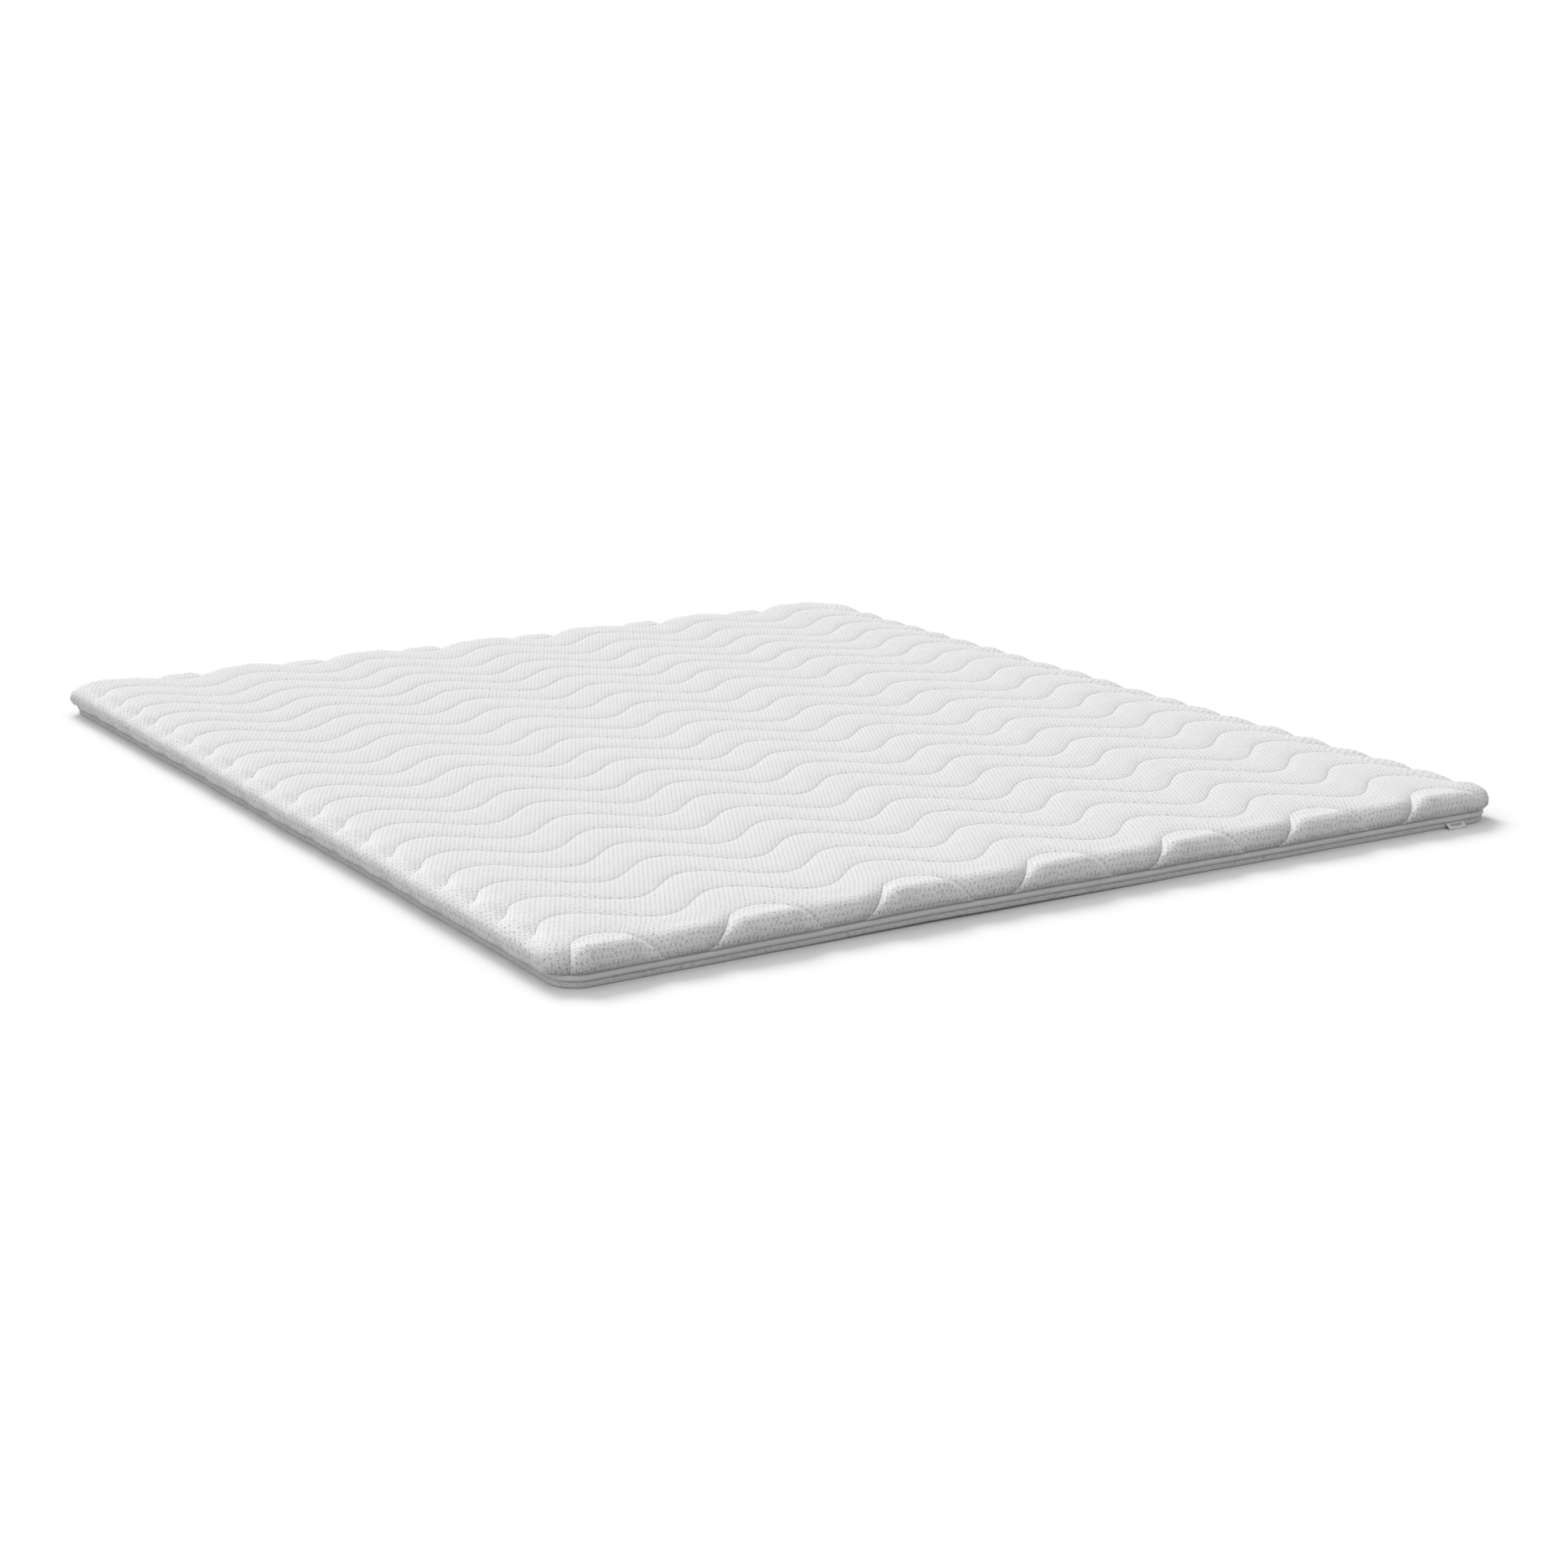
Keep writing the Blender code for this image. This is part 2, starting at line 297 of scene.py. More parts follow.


# White double knit: staggered dimples with painted shade in them, faint ribs between them and a band of
# painted shade along the sewn creases.
def makeWhiteKnit():
    k = knit
    finish = Finish("whiteKnit")
    place = finish.clothPlace()
    x, y, fromLine = finish.parts(place)
    uneven = finish.grain(place, k["fibres"], 1.0)
    bend = (uneven - 0.5) * k["fibreBend"] + (finish.grain(place, k["wander"], 2.0) - 0.5) * k["wanderBend"]
    rowWave = y.waves(k["rowsAlong"], bend)
    patchy = finish.grain(place, k["patches"], 1.0) - 0.5
    staggered = x.waves(k["dimplesAcross"], bend) * rowWave * rowWave * rowWave
    dimples = (staggered + patchy).ramp(k["dimpleFrom"], k["dimpleTo"])
    # dimples near the sewing, where the knit is drawn in, get more painted shade
    drawnInShade = 1.0 - fromLine.ramp(k["drawnShadeFrom"], k["drawnShadeTo"])

    # over the rim the dimples open and stand closer together
    acrossInner = (x * (topper["width"] - x)).ramp(k["rimEnds"], k["flatBegins"])
    alongInner = (y * (topper["length"] - y)).ramp(k["rimEnds"], k["flatBegins"])
    nearSide = 1.0 - x.ramp(k["farSideFrom"], k["farSideTo"]) * k["farSideLess"]
    nearEnd = 1.0 - y.ramp(k["farEndFrom"], k["farEndTo"]) * k["farEndLess"]
    overRim = (1.0 - acrossInner * alongInner) * nearSide * nearEnd
    rimWaves = x.waves(k["rimColumns"], bend) * y.waves(k["rimRows"], bend * k["rimBend"])
    rimPatchy = (finish.grain(place, k["rimPatches"], 1.0) - 0.5) * k["rimUneven"]
    opened = (rimWaves + rimPatchy).ramp(k["openFrom"], k["openTo"])

    # painted shade in the dimples: some in all of them, more near the sewing and in the opened ones over the
    # rim
    dimpleShade = dimples * (drawnInShade * k["drawnShadeTint"] + k["dimpleShadeTint"]) + opened * overRim * k["rimDimpleShadeTint"]
    # painted light: the near rims lighter than the top, less so on the far sides
    white = finish.tint(overRim, k["white"], k["rimLitWhite"])
    colour = finish.tint(dimpleShade + (uneven - 0.5) * k["fibreTint"], white, k["shadeAndToneGrey"])
    # painted shade in the sewn crease: a dark band along each line
    creaseShade = 1.0 - fromLine.ramp(0.0, k["creaseShadeWidth"])
    colour = finish.tint(creaseShade * k["creaseShadeTint"], colour, k["creaseShade"])
    # painted shade on the rim beside the outermost lines
    colour = finish.tint(finish.paintedFoldShade() * k["foldShadeTint"], colour, k["shadeAndToneGrey"])
    broad = finish.grain(place, k["clouds"], 3.0) - 0.5
    colour = finish.tint(broad * k["cloudTint"], colour, k["shadeAndToneGrey"])

    ribs = x.waves(k["dimplesAcross"] * 2.0) * 0.5 + 0.5
    loops = x.waves(k["loopsAcross"]) * y.waves(k["loopsAlong"])
    nearLine = 1.0 - fromLine.ramp(k["puckerFrom"], k["puckerTo"])
    puckers = finish.grain(place, k["puckers"], 1.0) * nearLine
    height = ribs * k["ribRelief"] + loops * k["loopRelief"] + uneven * k["fibreRelief"]
    height = height + puckers * k["puckerRelief"] - dimples * k["dimpleRelief"]
    normal = finish.relief(height, k["depth"])
    return finish.finishWith(colour=colour, normal=normal, roughness=0.92, specular=0.2,
                             sheen=0.03, sheenRoughness=0.5)


sewing = {
    "pale": (0.60, 0.60, 0.60), "dark": (0.44, 0.44, 0.44),
    "fibres": 1800.0, "twistTint": 0.4, "depth": 0.0001,
}


def makeSewingThread():
    finish = Finish("sewingThread")
    twist = finish.grain(finish.objectPlace(), sewing["fibres"], 1.0)
    colour = finish.tint(twist * sewing["twistTint"], sewing["pale"], sewing["dark"])
    normal = finish.relief(twist, sewing["depth"])
    return finish.finishWith(colour=colour, normal=normal, roughness=0.6, specular=0.4, sheen=0.1)


tapeCloth = {
    "pale": (0.80, 0.80, 0.80), "dark": (0.70, 0.70, 0.70),
    "threadsAlong": 900.0, "threadsAcross": 1100.0, "strands": 420.0,
    "strandTint": 0.5, "weaveRelief": 0.5, "depth": 0.00012,
}


def makeWovenTape():
    c = tapeCloth
    finish = Finish("wovenTape")
    place = finish.clothPlace()
    x, y, _ = finish.parts(place)
    weave = x.waves(c["threadsAlong"]) * y.waves(c["threadsAcross"])
    strands = finish.grain(place, c["strands"], 2.0)
    colour = finish.tint(strands * c["strandTint"], c["pale"], c["dark"])
    normal = finish.relief(weave * c["weaveRelief"] + strands, c["depth"])
    return finish.finishWith(colour=colour, normal=normal, roughness=0.45, specular=0.6,
                             sheen=1.0, sheenRoughness=0.35)


coverCloth = {
    "pale": (0.72, 0.72, 0.72), "speck": (0.36, 0.36, 0.36), "cloud": (0.40, 0.40, 0.40),
    "specks": 420.0, "fibres": 1100.0, "clouds": 22.0, "loops": 520.0,
    "speckFrom": 0.50, "speckTo": 0.68, "speckTint": 0.65, "fibreTint": 0.3, "cloudTint": 0.4,
    "fibreRelief": 0.4, "loopRelief": 0.2, "speckRelief": 0.6, "depth": 0.0003,
}


def makeMottledKnit():
    c = coverCloth
    finish = Finish("mottledKnit")
    place = finish.objectPlace()
    x, y, _ = finish.parts(place)
    specks = finish.grain(place, c["specks"], 2.0, 0.6).ramp(c["speckFrom"], c["speckTo"])
    fine = finish.grain(place, c["fibres"], 1.0)
    broad = finish.grain(place, c["clouds"], 2.0) - 0.5
    loops = x.waves(c["loops"]) * y.waves(c["loops"])
    colour = finish.tint(specks * c["speckTint"] + (fine - 0.5) * c["fibreTint"], c["pale"], c["speck"])
    colour = finish.tint(broad * c["cloudTint"], colour, c["cloud"])
    height = fine * c["fibreRelief"] + loops * c["loopRelief"] - specks * c["speckRelief"]
    normal = finish.relief(height, c["depth"])
    return finish.finishWith(colour=colour, normal=normal, roughness=0.93, specular=0.25,
                             sheen=0.8, sheenRoughness=0.4)


labelCloth = {
    "pale": (0.84, 0.84, 0.84), "dark": (0.74, 0.74, 0.74), "mark": (0.14, 0.14, 0.14),
    "threads": 1500.0, "clouds": 160.0, "cloudTint": 0.5,
    "weaveRelief": 0.5, "cloudRelief": 0.5, "depth": 0.0001,
    # a row of small dark blocks: how many in a metre, then where they lie
    "blocks": 330.0, "blockEdge": 0.0004, "blockTint": 0.9,
    "blocksLeft": 0.0060, "blocksRight": 0.0290, "blocksTop": 0.0030, "blocksBottom": 0.0080,
}


def makeLabelWeave():
    c = labelCloth
    finish = Finish("labelWeave")
    place = finish.clothPlace()
    x, y, _ = finish.parts(place)
    weave = x.waves(c["threads"]) * y.waves(c["threads"])
    cloudy = finish.grain(place, c["clouds"], 2.0)
    colour = finish.tint(cloudy * c["cloudTint"], c["pale"], c["dark"])
    blocks = x.waves(c["blocks"]).ramp(-0.6, 0.0)
    blocks = blocks * x.between(c["blocksLeft"], c["blocksRight"], c["blockEdge"])
    blocks = blocks * y.between(c["blocksTop"], c["blocksBottom"], c["blockEdge"])
    colour = finish.tint(blocks * c["blockTint"], colour, c["mark"])
    normal = finish.relief(weave * c["weaveRelief"] + cloudy * c["cloudRelief"], c["depth"])
    return finish.finishWith(colour=colour, normal=normal, roughness=0.7, specular=0.35, sheen=0.15)


# Quilted top.

top = {
    "seamHeight": 0.0188, "waistHeight": 0.0250, "stitchHeight": 0.0469,
    "rimInset": 0.0062, "seamInset": 0.0098,
    "rimShape": 1.40,             # the higher, the boxier the shoulder
    "lines": 22, "firstLine": 0.0385, "channel": 0.0880,
    # the rows are sewn a little off even spacing: number of the line, shift
    "shiftAt": (0.0, 1.0, 6.0, 12.0, 15.5, 19.0, 21.0),
    "shift": (-0.0035, 0.0030, 0.0095, 0.0095, 0.0130, -0.0098, -0.0090),
    "period": 0.2368, "swing": 0.0365, "firstCrest": 0.0840, "crestBend": 0.0110,
    "sidePattern": 0.064, "endPattern": 0.047,      # pattern that runs down over the rim
    "bunch": 1.5,                 # how much that pattern crowds towards the seam at the ends
    "puff": 0.0035, "rimPuff": 0.0165,              # filling between the lines, on the flat and on the rim
    "puffShape": 3.8, "rimPuffShape": 2.0,
    "rimPuffFrom": 0.06, "rimPuffTo": 0.58, "rimShapeTo": 0.40,     # shares of the rim
    "narrow": 0.060, "thinning": 0.75,              # narrower channels are flatter
    "pinchWidth": 0.013, "pinchShape": 0.5,         # the filling thins out towards the seam
    "hemFullness": (1.02, 0.72),  # of the first and the last channel
    "foldShadeEdge": 0.001, "foldShadeWidth": 0.016,          # the painted shade beside the outermost lines fades between these
    "foldShadeFrom": 0.15, "foldShadeTo": 0.55,               # and comes in between these shares of the rim
    # the lines die out on the long sides, and there the knit's painted crease shade, extra dimple shade and
    # puckers are laid as if it lay off them
    "fadeFrom": 0.24, "fadeTo": 0.80, "fade": 0.90, "farFade": 0.35, "fadedGap": 0.004,
    "farFadeFrom": 0.08, "farFadeTo": 0.30,         # along the far side, from the front
    "sidewaysFrom": 0.35, "sidewaysTo": 0.90,       # how much the rim faces sideways, as a square
    # the filling where they have died out, less of it down at the seam
    "hemLess": 0.4, "hemFrom": 0.84, "hemTo": 0.99,
    # the waves lean towards the near corner on the rim
    "drift": 0.011, "driftFrom": 0.010, "driftEnds": 0.080, "flare": 0.005, "flareFrom": 0.5,
    "sideDrift": 0.022, "farDrift": 0.030, "farDriftTo": 0.5,
    "cornerHold": 0.13,           # but not this near to a corner
    # unevenness of the filling: size, then two crossing waves in radians a metre, and a shift
    "uneven": ((0.09, 31.0, 17.0, 41.0, -9.0, 1.0), (0.05, 83.0, -29.0, 97.0, 37.0, 0.0)),
    "sway": (0.0007, 7.0, 3.0, 6.0, -4.0, 0.7),
    "columnStep": 0.0048, "rimColumns": 15, "rimSpacing": 1.15,
    # rows of a channel, as shares of its width
    "shares": (0.025, 0.07, 0.14, 0.24, 0.36, 0.5, 0.64, 0.76, 0.86, 0.93, 0.975, 1.0),
}


# Distance over the rim, inset, height and outward normal, from the flat to the seam.
def rimProfile():
    t = top
    corner = topper["corner"]
    turn = np.linspace(0.0, math.pi / 2, 60)
    power = 2.0 / t["rimShape"]
    shoulderInset = corner - (corner - t["rimInset"]) * np.sin(turn) ** power
    shoulderHeight = t["waistHeight"] + (t["stitchHeight"] - t["waistHeight"]) * np.cos(turn) ** power
    tuckInset = t["rimInset"] + (t["seamInset"] - t["rimInset"]) * (1.0 - np.cos(turn[1:]))
    tuckHeight = t["waistHeight"] - (t["waistHeight"] - t["seamHeight"]) * np.sin(turn[1:])
    inset = np.concatenate([shoulderInset, tuckInset])
    height = np.concatenate([shoulderHeight, tuckHeight])
    travel = np.concatenate([[0.0], np.cumsum(np.hypot(np.diff(inset), np.diff(height)))])
    return travel, inset, height, -np.gradient(height, travel), -np.gradient(inset, travel)


rim = rimProfile()
rimCloth = rim[0][-1]


# How far a pattern place is over the near rim (to -1) or the far rim (to 1), bunched towards the seam.
def rimShare(place, span, onRim, bunch):
    corner = topper["corner"]
    near = np.clip((corner - place) / onRim, 0.0, 1.0)
    far = np.clip((place - span + corner) / onRim, 0.0, 1.0)
    return (1.0 - near) ** bunch - (1.0 - far) ** bunch


# The same pattern place as a length of cloth, which the knit is drawn in.
def clothRun(place, span, onRim, bunch):
    corner = topper["corner"]
    return np.clip(place, corner, span - corner) + rimCloth * rimShare(place, span, onRim, bunch)


# And back from a length of cloth to its pattern place.
def patternPlace(run, span, onRim, bunch):
    corner = topper["corner"]
    near = np.clip((corner - run) / rimCloth, 0.0, 1.0)
    far = np.clip((run - span + corner) / rimCloth, 0.0, 1.0)
    overRim = (1.0 - near) ** (1.0 / bunch) - (1.0 - far) ** (1.0 / bunch)
    return np.clip(run, corner, span - corner) + onRim * overRim


# Unevenness over the cloth, from two crossing waves.
def crossedWaves(across, along, wave):
    size, firstX, firstY, secondY, secondX, shift = wave
    first = np.sin(across * firstX + along * firstY)
    return size * first * np.sin(along * secondY + across * secondX + shift)


# Wraps pattern places over the rim and raises them by the filling.
# Gives the places, how far the lines have died out and how far each place is down the rim.
def wrapCloth(across, along, share, widest):
    t = top
    corner, width, length = topper["corner"], topper["width"], topper["length"]
    u = rimShare(across, width, t["sidePattern"], 1.0)
    v = rimShare(along, length, t["endPattern"], t["bunch"])

    hold = t["cornerHold"]
    offCorner = smooth(0.0, hold, across) * smooth(0.0, hold, width - across)
    offEnd = smooth(0.0, hold, along) * smooth(0.0, hold, length - along)
    drift = t["drift"] * (1.0 - smooth(t["driftFrom"], t["driftEnds"], along))
    leanX = -(drift + t["flare"] * smooth(t["flareFrom"], 1.0, -v)) * offCorner
    farLean = t["farDrift"] * smooth(0.0, t["farDriftTo"], u)
    leanY = -(t["sideDrift"] * smooth(0.0, 1.0, -u) + farLean) * offEnd

    # the square of both shares becomes a disc, so that the rim turns the corners evenly
    outX = u * np.sqrt(1.0 - v * v / 2.0)
    outY = v * np.sqrt(1.0 - u * u / 2.0)
    reach = np.minimum(1.0, np.hypot(outX, outY))
    divisor = np.maximum(reach, 1e-9)

    facing = outX * outX / np.maximum(outX * outX + outY * outY, 1e-9)
    sideways = smooth(t["sidewaysFrom"], t["sidewaysTo"], facing)
    strength = np.where(u > 0, t["farFade"] * smooth(t["farFadeFrom"], t["farFadeTo"], along), t["fade"])
    faded = smooth(t["fadeFrom"], t["fadeTo"], reach) * sideways * strength

    travel, inset, height, normalOut, normalUp = rim
    here = reach * rimCloth
    shape = t["puffShape"] + (t["rimPuffShape"] - t["puffShape"]) * smooth(0.0, t["rimShapeTo"], reach)
    crown = widest * (1.0 - abs(2.0 * share - 1.0) ** shape)
    crown = crown + (1.0 - crown) * faded * (1.0 - t["hemLess"] * smooth(t["hemFrom"], t["hemTo"], reach))
    pinch = np.clip((rimCloth - here) / t["pinchWidth"], 0.0, 1.0) ** t["pinchShape"]
    fill = t["puff"] + (t["rimPuff"] - t["puff"]) * smooth(t["rimPuffFrom"], t["rimPuffTo"], reach)
    puff = fill * crown * pinch

    offset = corner - np.interp(here, travel, inset) + puff * np.interp(here, travel, normalOut)
    x = np.clip(across + leanX, corner, width - corner) + np.where(reach > 0, offset * outX / divisor, 0.0)
    y = np.clip(along + leanY, corner, length - corner) + np.where(reach > 0, offset * outY / divisor, 0.0)
    z = np.interp(here, travel, height) + puff * np.interp(here, travel, normalUp)
    z = z + crossedWaves(across, along, t["sway"]) * (1.0 - reach)
    places = np.stack([x, y, np.maximum(z, t["seamHeight"])], axis=-1)
    return places, faded, smooth(t["foldShadeFrom"], t["foldShadeTo"], reach)


def waveLine(index, across):
    t = top
    crest = t["firstCrest"] + t["crestBend"] * math.sin(math.pi * index / (t["lines"] - 1))
    phase = 2.0 * math.pi * (across - crest) / t["period"]
    centre = t["firstLine"] + index * t["channel"] + np.interp(index, t["shiftAt"], t["shift"])
    return centre + t["swing"] * np.cos(phase)


def topColumns():
    t = top
    corner, width = topper["corner"], topper["width"]
    nearRim = corner - t["sidePattern"] * np.linspace(1.0, 0.0, t["rimColumns"]) ** t["rimSpacing"]
    flat = width - 2.0 * corner
    count = int(flat / t["columnStep"])
    inner = corner + flat * np.arange(1, count) / count
    return np.concatenate([nearRim, inner, (width - nearRim)[::-1]])


# Every row's pattern place, share across its channel, fullness, distance from its line of sewing
# and share of the painted shade beside the outermost lines, for all the columns.
def topRows(across):
    t = top
    corner, length = topper["corner"], topper["length"]
    first, last = corner - t["endPattern"], length - corner + t["endPattern"]
    lines = [np.full_like(across, first)]
    lines += [np.clip(waveLine(index, across), first, last) for index in range(t["lines"])]
    lines += [np.full_like(across, last)]
    stops = clothRun(np.array(lines), length, t["endPattern"], t["bunch"])
    nothing = np.zeros_like(across)
    places, shares, fullness, gaps, foldShades = [lines[0]], [nothing], [nothing], [nothing], [nothing]
    for number, (low, high) in enumerate(zip(stops, stops[1:])):
        hem = {0: t["hemFullness"][0], t["lines"]: t["hemFullness"][1]}.get(number, 1.0)
        span = high - low
        slope = np.gradient((low + high) / 2.0, across)
        widest = np.minimum(1.0, span / np.sqrt(1.0 + slope ** 2) / t["narrow"]) ** t["thinning"]
        for share in t["shares"]:
            places.append(patternPlace(low + span * share, length, t["endPattern"], t["bunch"]))
            shares.append(nothing + share)
            fullness.append(widest * hem)
            gaps.append(span * min(share, 1.0 - share))
            fromOuterLine = {1: span * share, t["lines"] - 1: span * (1.0 - share)}.get(number, nothing + 1.0)
            foldShades.append(1.0 - smooth(t["foldShadeEdge"], t["foldShadeWidth"], fromOuterLine))
    return [np.array(rows).T for rows in (places, shares, fullness, gaps, foldShades)]


def makeQuiltedTop(material):
    columns = topColumns()
    along, share, widest, gap, foldShadeShare = topRows(columns)
    across = np.repeat(columns[:, None], along.shape[1], axis=1)
    uneven = 1.0 + sum(crossedWaves(across, along, wave) for wave in top["uneven"])
    places, faded, downRim = wrapCloth(across, along, share, widest * uneven)
    clothX = clothRun(across, topper["width"], top["sidePattern"], 1.0)
    clothY = clothRun(along, topper["length"], top["endPattern"], top["bunch"])
    cloth = np.stack([clothX, clothY, gap + faded * top["fadedGap"]], axis=-1)
    bm = bmesh.new()
    shapeGrid(bm, settle(places), cloth, foldShadeShare * downRim * (1.0 - faded))
    closeShape(bm, topper["weld"], True)
    piece = addPiece("quiltedTop", bm, material)
    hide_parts("quilted_top")
    return piece


# Lines of stitches.

stitches = {
    "pitch": 0.0045, "length": 0.0032, "thickness": 0.00045, "sink": 0.0001,
    "endShare": 0.35, "dip": 0.0006,      # a stitch is thinner and lower at its ends
    "samples": 2400, "margin": 0.004,     # points along a line, and how far from its ends the thread starts
    "stopAt": 0.30,                       # the thread stops where the line has died out this far
    "clear": 0.001,                       # a line has to be this far inside the pattern's ends
    "lookAhead": 0.001,                   # along the thread, for a stitch's direction
    "rimCentre": 0.020,                   # height that a stitch on the rim faces away from
    "leastUp": 0.004,                     # the least that it faces upward
}


# One stitch along x: a thread that dips into the cloth at both ends.
def stitchShape():
    s = stitches
    bm = bmesh.new()
    bmesh.ops.create_grid(bm, x_segments=3, y_segments=3, size=0.5)
    for vertex in bm.verts:
        run = vertex.co.x
        turn = (vertex.co.y + 0.5) * 2.0 * math.pi
        atEnd = abs(run) > 0.4
        thick = s["thickness"] * (s["endShare"] if atEnd else 1.0)
        low = -s["dip"] if atEnd else 0.0
        vertex.co = (run * s["length"], thick * math.cos(turn), low + thick * math.sin(turn))
    bmesh.ops.remove_doubles(bm, verts=bm.verts, dist=topper["fineWeld"])
    bmesh.ops.recalc_face_normals(bm, faces=bm.faces)
    bm.verts.index_update()
    shape = np.array([vertex.co for vertex in bm.verts])
    faces = [[vertex.index for vertex in face.verts] for face in bm.faces]
    bm.free()
    return shape, faces


# The middle of every stitch and the direction that it runs in, where its line is on the cloth.
def stitchPlaces():
    s, t = stitches, top
    corner = topper["corner"]
    fine = np.linspace(corner - t["sidePattern"], topper["width"] - corner + t["sidePattern"], s["samples"])
    low, high = corner - t["endPattern"], topper["length"] - corner + t["endPattern"]
    middles, aheads = [], []
    for index in range(t["lines"]):
        line = waveLine(index, fine)
        path, faded, _ = wrapCloth(fine, np.clip(line, low, high), 0.0, 1.0)
        path = settle(path)
        inside = (line > low + s["clear"]) & (line < high - s["clear"]) & (faded < s["stopAt"])
        run = np.concatenate([[0.0], np.cumsum(np.linalg.norm(np.diff(path, axis=0), axis=1))])
        stops = np.arange(s["margin"], run[-1] - s["margin"], s["pitch"])
        middle = np.stack([np.interp(stops, run, path[:, i]) for i in range(3)], axis=-1)
        ahead = np.stack([np.interp(stops + s["lookAhead"], run, path[:, i]) for i in range(3)], axis=-1)
        keep = np.interp(stops, run, inside.astype(float)) > 0.99
        middles.append(middle[keep])
        aheads.append((ahead - middle)[keep])
    middle, ahead = np.concatenate(middles), np.concatenate(aheads)
    return middle, ahead / np.linalg.norm(ahead, axis=1)[:, None]


def makeQuiltStitches(material):
    s = stitches
    shape, faces = stitchShape()
    middle, ahead = stitchPlaces()
    # outward direction: up on the flat, leaning out over the rim
    flatX, flatY = topper["width"] / 2 - topper["corner"], topper["length"] / 2 - topper["corner"]
    inner = np.stack([np.clip(middle[:, 0], -flatX, flatX), np.clip(middle[:, 1], -flatY, flatY),
                      np.full(len(middle), s["rimCentre"])], axis=-1)
    outward = middle - inner
    outward[:, 2] = np.maximum(outward[:, 2], s["leastUp"])
    side = np.cross(outward, ahead)
    side /= np.linalg.norm(side, axis=1)[:, None]
    up = np.cross(ahead, side)
    placed = (middle + up * s["sink"])[:, None, :]
    for axis, direction in enumerate((ahead, side, up)):
        placed = placed + shape[None, :, axis, None] * direction[:, None, :]
    mesh = bpy.data.meshes.new("quiltStitches")
    starts = range(0, len(middle) * len(shape), len(shape))
    allFaces = [[start + index for index in face] for start in starts for face in faces]
    mesh.from_pydata(placed.reshape(-1, 3).tolist(), [], allFaces)
    return linkPiece("quiltStitches", mesh, material)


# Bands round the edge.

bands = {
    "sideSteps": 270, "endSteps": 226, "cornerSteps": 14,
    # inset and height, from the bottom up
    "coverSection": (
        (0.0130, 0.0), (0.0112, 0.0001), (0.0101, 0.0005), (0.0095, 0.0014), (0.0092, 0.0027),
        (0.0091, 0.0042), (0.0092, 0.0058), (0.0095, 0.0071), (0.0101, 0.0080), (0.0112, 0.0083),
        (0.0132, 0.0084), (0.0208, 0.0084), (0.0208, 0.0184),
    ),
    "tapeSection": (
        (0.0158, 0.0089), (0.0110, 0.0089), (0.0090, 0.0091), (0.0078, 0.0098), (0.0070, 0.0110),
        (0.0067, 0.0126), (0.0069, 0.0143), (0.0075, 0.0159), (0.0085, 0.0173), (0.0100, 0.0182),
        (0.0158, 0.0184),
    ),
    "tapeThickness": 0.0006,
}


# A section wrapped round the outline. Gives its run round the edge and the width of its cloth.
def wrapSection(bm, section):
    b = bands
    rings = [outlinePlaces(inset, b["sideSteps"], b["endSteps"], b["cornerSteps"]) for inset, _ in section]
    rings = [np.concatenate([ring, ring[:1]]) for ring in rings]
    runs = np.concatenate([[0.0], np.cumsum(np.linalg.norm(np.diff(rings[0], axis=0), axis=1))])
    across = np.concatenate([[0.0], np.cumsum([math.dist(p, q) for p, q in zip(section, section[1:])])])
    heights = np.array([height for _, height in section])
    flat = np.array(rings).transpose(1, 0, 2)
    places = np.concatenate([flat, np.broadcast_to(heights[None, :, None], (*flat.shape[:2], 1))], axis=-1)
    cloth = np.zeros_like(places)
    cloth[..., 0] = runs[:, None]
    cloth[..., 1] = across[None, :]
    shapeGrid(bm, settle(places), cloth, cloth[..., 2])
    return runs[-1], across[-1]


def makeLowerCover(material):
    bm = bmesh.new()
    wrapSection(bm, bands["coverSection"])
    closeShape(bm, topper["weld"], True)
    piece = addPiece("lowerCover", bm, material)
    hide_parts("lower_cover")
    return piece


def makeEdgeTape(material):
    bm = bmesh.new()
    run, width = wrapSection(bm, bands["tapeSection"])
    closeShape(bm, topper["weld"], False)
    piece = addPiece("edgeTape", bm, material)
    thicken(piece, bands["tapeThickness"], -1.0)
    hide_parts("edge_tape")
    return piece


# Side label.

label = {
    "left": 1.493, "width": 0.035, "drop": 0.0123, "thickness": 0.0006,
    "rootInset": 0.0088, "rootHeight": 0.0078, "tipInset": -0.0010, "tipHeight": 0.0005,
    "curl": 1.3, "ripple": 0.0003, "ripples": 9.0,      # ripples in radians over its width
    "columns": 16, "rows": 12,
}


def makeSideLabel(material):
    s = label
    columns, rows = np.linspace(0, 1, s["columns"] + 1), np.linspace(1, 0, s["rows"] + 1)
    across, drop = np.meshgrid(columns, rows, indexing="ij")
    inset = s["rootInset"] + (s["tipInset"] - s["rootInset"]) * drop
    height = s["rootHeight"] + (s["tipHeight"] - s["rootHeight"]) * drop ** s["curl"]
    height = height + s["ripple"] * np.sin(across * s["ripples"]) * drop
    places = settle(np.stack([s["left"] + s["width"] * across, inset, height], axis=-1))
    noFoldShade = np.zeros_like(drop)
    bm = bmesh.new()
    shapeGrid(bm, places, np.stack([across * s["width"], drop * s["drop"], noFoldShade], axis=-1), noFoldShade)
    closeShape(bm, topper["fineWeld"], False)
    piece = addPiece("sideLabel", bm, material)
    thicken(piece, s["thickness"], 0.0)
    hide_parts("side_label")
    return piece


# Floor, light and camera.

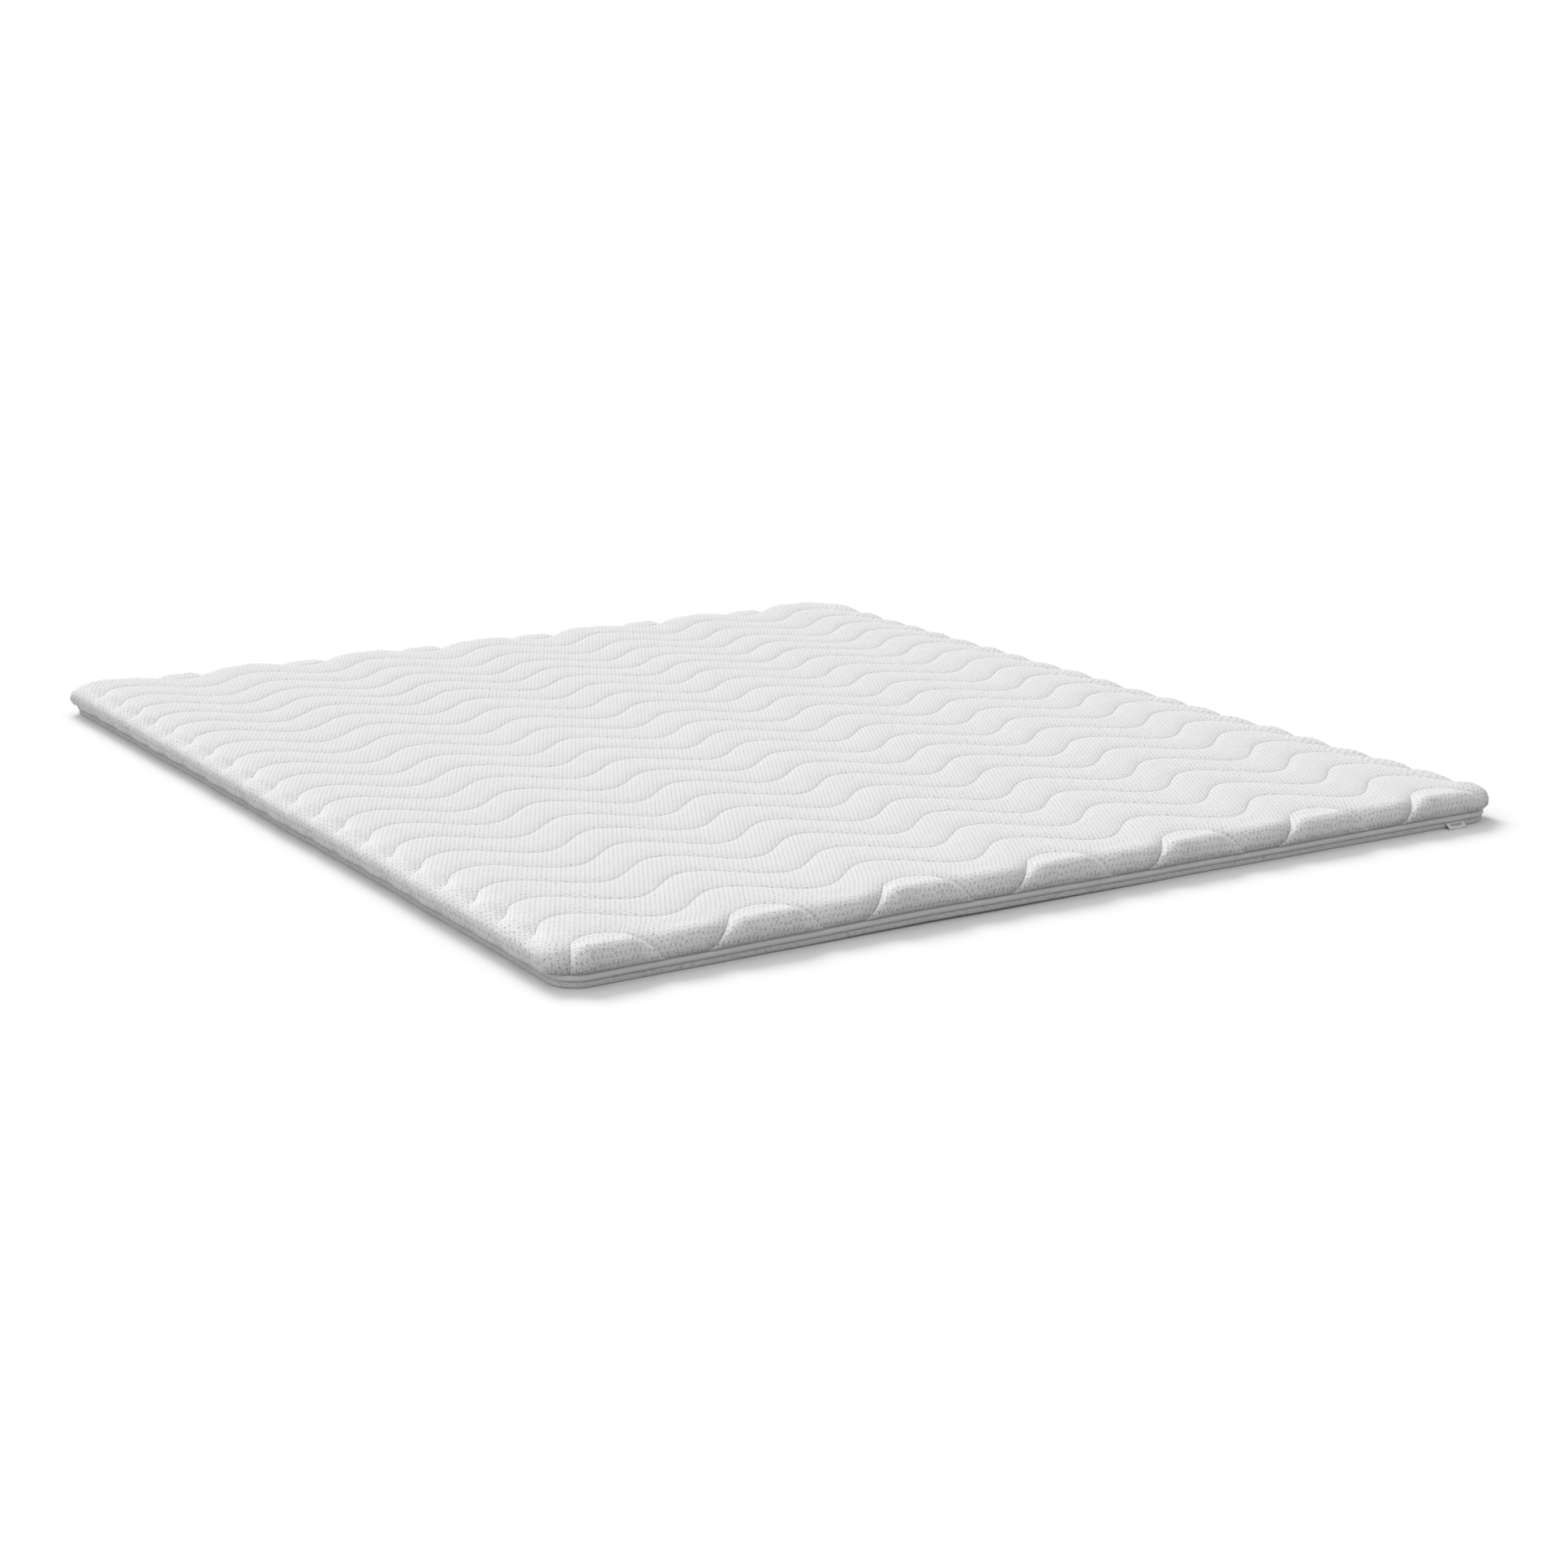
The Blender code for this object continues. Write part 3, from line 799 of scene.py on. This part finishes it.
studio = {
    "floor": (0.93, 0.93, 0.93), "floorCloud": (0.91, 0.91, 0.91), "floorSize": 120.0,
    "floorBounce": (0.24, 0.24, 0.24),
    # name, strength, turn and angle of each lamp
    "lamps": (("broadLamp", 0.28, (-39.0, 0.0, 0.0), 72.0),
              ("backLamp", 0.80, (-51.0, 0.0, 0.0), 24.0),
              ("backRightLamp", 1.17, (-51.0, 0.0, -15.0), 24.0)),
    "sky": 0.535, "leftSky": 0.42,
    "horizon": 1.05, "horizonTo": 0.05, "skyFrom": 0.16,      # where the bright horizon turns into the sky
    "cameraAt": (-2.2906, -3.8739, 1.0820), "cameraPitch": 13.990, "cameraYaw": 31.811, "lens": 64.565,
}


def makeFloor():
    s = studio
    bm = bmesh.new()
    bmesh.ops.create_grid(bm, x_segments=8, y_segments=8, size=s["floorSize"] / 2)
    mesh = bpy.data.meshes.new("floor")
    bm.to_mesh(mesh)
    bm.free()
    finish = Finish("paleFloor")
    cloudy = finish.grain(finish.objectPlace(), 3.0, 2.0)
    colour = finish.tint(cloudy * 0.1, s["floor"], s["floorCloud"])
    # the floor looks white but throws less light back up, as a dark studio round a white sheet would
    seen = finish.node("ShaderNodeLightPath", {}, {}, "Is Camera Ray")
    colour = finish.tint(seen, s["floorBounce"], colour)
    mesh.materials.append(finish.finishWith(colour=colour, roughness=0.9, specular=0.1))
    floor = bpy.data.objects.new("floor", mesh)
    bpy.context.scene.collection.objects.link(floor)


def makeLamps():
    for name, strength, turn, angle in studio["lamps"]:
        lamp = bpy.data.lights.new(name, "SUN")
        lamp.energy = strength
        lamp.angle = math.radians(angle)
        lampObject = bpy.data.objects.new(name, lamp)
        lampObject.rotation_euler = [math.radians(degrees) for degrees in turn]
        bpy.context.scene.collection.objects.link(lampObject)


# A plain sky that is bright at the horizon and lighter on the left.
def makeSky():
    s = studio
    world = bpy.data.worlds.new("studio")
    world.use_nodes = True
    air = Shading(world.node_tree)
    x, _, z = air.parts(air.node("ShaderNodeTexCoord", {}, {}, "Generated"))
    rise = air.node("ShaderNodeMapRange", {}, {
        "Value": z, "From Min": s["horizonTo"], "From Max": s["skyFrom"],
        "To Min": s["horizon"], "To Max": s["sky"]})
    leftward = air.node("ShaderNodeMapRange", {}, {"Value": x, "From Max": -1.0, "To Max": s["leftSky"]})
    background = world.node_tree.nodes["Background"]
    air.join((1.0, 1.0, 1.0), background.inputs["Color"])
    air.join(rise + leftward, background.inputs["Strength"])
    bpy.context.scene.world = world


def makeCamera():
    s = studio
    camera = bpy.data.cameras.new("camera")
    camera.lens = s["lens"]
    camera.sensor_width = 36.0
    camera.clip_end = 200.0
    cameraObject = bpy.data.objects.new("camera", camera)
    cameraObject.location = s["cameraAt"]
    cameraObject.rotation_euler = (math.radians(90.0 - s["cameraPitch"]), 0.0, math.radians(-s["cameraYaw"]))
    scene = bpy.context.scene
    scene.collection.objects.link(cameraObject)
    scene.camera = cameraObject
    scene.view_settings.view_transform = "Standard"


makeFloor()
makeLamps()
makeSky()
makeCamera()
print("studio done")
makeQuiltedTop(makeWhiteKnit())
print("quilted top done")
makeQuiltStitches(makeSewingThread())
print("stitches done")
makeLowerCover(makeMottledKnit())
makeEdgeTape(makeWovenTape())
makeSideLabel(makeLabelWeave())
print("edge done")
